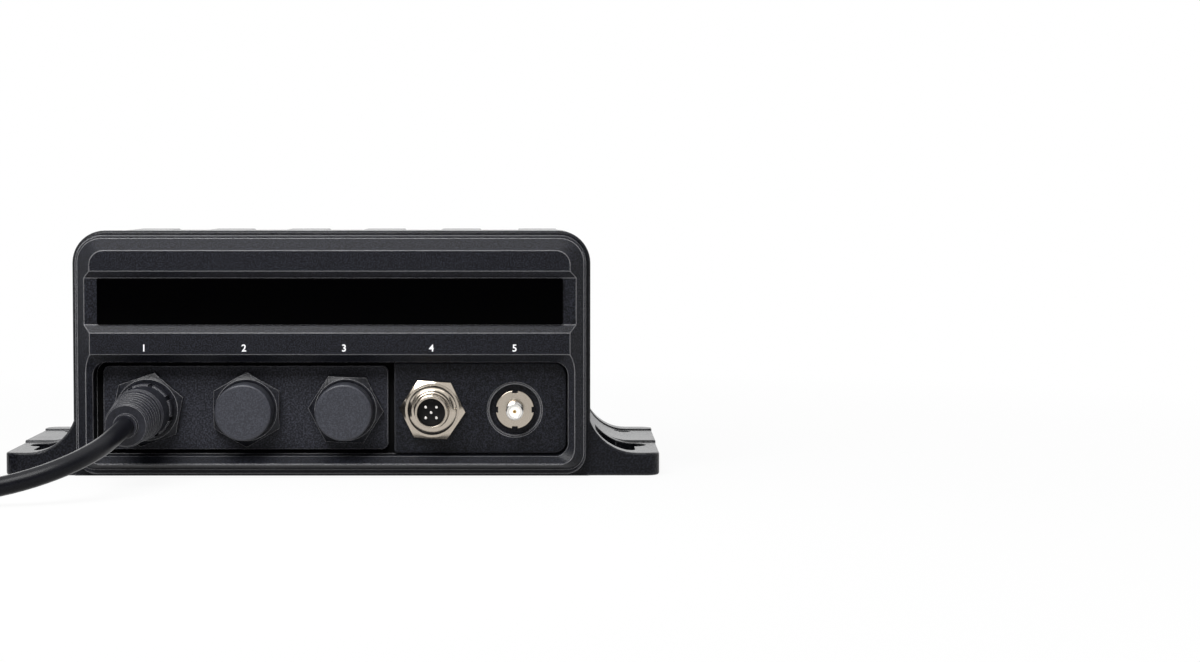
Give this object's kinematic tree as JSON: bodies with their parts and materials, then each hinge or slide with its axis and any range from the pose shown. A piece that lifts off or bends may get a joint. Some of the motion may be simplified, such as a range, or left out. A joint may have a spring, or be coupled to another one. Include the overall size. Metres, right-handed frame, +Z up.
{
  "type": "vhf marine radio",
  "caption": "Remote-mounted marine VHF transceiver: finned die-cast case with screw-down feet, a moulded front with a row of round sockets, and a plugged-in handset lead.",
  "frame": {"origin": "centre of the rectangle that the case, feet and sockets cover, on the surface that the feet stand on", "axes": "+X to the right of someone who looks at the front, +Y from the front to the rear, +Z up"},
  "size_m": [0.3543, 0.212, 0.09],
  "materials": {
    "cast_black": "powder coated, matt with a fine texture",
    "moulded_black": "spark-eroded matt",
    "gloss_black": "polished",
    "seal_rubber": "matt",
    "plated_black": "black plated, satin",
    "insulator_black": "moulded, satin",
    "insulator_white": "satin",
    "contact_gold": "gold plated",
    "nickel_plate": "satin nickel",
    "cap_black": "satin",
    "boot_rubber": "satin",
    "lead_jacket": "satin PVC jacket",
    "tie_black": "woven strap",
    "screw_steel": "turned",
    "circuit_board": "solder resist",
    "tin_plate": "tinned sheet",
    "bare_aluminium": "milled"
  },
  "bodies": {
    "unit": {"chassis": "cast_black", "panel_gasket": "seal_rubber", "front_panel": "moulded_black", "name_strip": "gloss_black", "handset_plate": "moulded_black", "network_plate": "moulded_black", "handset_socket_1": "plated_black", "handset_insert_1": "insulator_black", "handset_nut_1": "plated_black", "handset_socket_2": "plated_black", "handset_insert_2": "insulator_black", "handset_nut_2": "plated_black", "handset_socket_3": "plated_black", "handset_insert_3": "insulator_black", "handset_nut_3": "plated_black", "handset_pins": "contact_gold", "plug_body": "insulator_black", "plug_boot": "boot_rubber", "handset_cord": "lead_jacket", "cord_tail": "lead_jacket", "cord_coil": "lead_jacket", "coil_tie": "tie_black", "lead_connector": "cap_black", "lead_connector_nut": "plated_black", "network_socket": "nickel_plate", "network_insert": "insulator_black", "network_pins": "contact_gold", "gps_ring_nut": "nickel_plate", "gps_socket": "nickel_plate", "gps_insulator": "insulator_white", "gps_contact": "contact_gold", "antenna_socket": "nickel_plate", "antenna_insulator": "insulator_white", "antenna_contact": "contact_gold", "antenna_screws": "screw_steel", "power_gland": "moulded_black", "power_gland_seal": "seal_rubber", "power_gland_nut": "moulded_black", "data_gland": "moulded_black", "data_gland_seal": "seal_rubber", "data_gland_nut": "moulded_black", "earth_screw": "screw_steel", "earth_washer": "screw_steel", "case_screws": "screw_steel", "jack_board": "circuit_board", "main_board": "circuit_board", "board_screws": "screw_steel", "board_link": "insulator_black", "shield_can": "tin_plate", "output_filter_can": "tin_plate", "antenna_relay": "insulator_black", "gps_module": "tin_plate", "heat_spreader": "bare_aluminium", "final_amplifier": "insulator_black"},
    "seal_2": {"cap_seal_2": "seal_rubber"},
    "cap_2": {"socket_cap_2": "cap_black"},
    "seal_3": {"cap_seal_3": "seal_rubber"},
    "cap_3": {"socket_cap_3": "cap_black"},
    "plug_ring": {"plug_ring": "cap_black"}
  },
  "joints": [
    {"name": "cap_2_travel", "type": "slide", "parent": "unit", "child": "seal_2", "axis": [0, -1, 0], "range_m": [0, 0.00901]},
    {"name": "cap_2_turn", "type": "hinge", "parent": "seal_2", "child": "cap_2", "pos_m": [-0.0312, -0.05675, 0.0243], "axis": [0, -1, 0], "range_deg": [0, 3240]},
    {"name": "cap_3_travel", "type": "slide", "parent": "unit", "child": "seal_3", "axis": [0, -1, 0], "range_m": [0, 0.00901]},
    {"name": "cap_3_turn", "type": "hinge", "parent": "seal_3", "child": "cap_3", "pos_m": [0.0052, -0.05675, 0.0243], "axis": [0, -1, 0], "range_deg": [0, 3240]},
    {"name": "plug_ring_turn", "type": "hinge", "parent": "unit", "child": "plug_ring", "pos_m": [-0.0676, -0.05675, 0.0243], "axis": [0, -1, 0], "continuous": true}
  ],
  "couplings": [
    {"joint": "cap_2_travel", "follows": "cap_2_turn", "m_per_rad": 0.00015915},
    {"joint": "cap_3_travel", "follows": "cap_3_turn", "m_per_rad": 0.00015915}
  ]
}
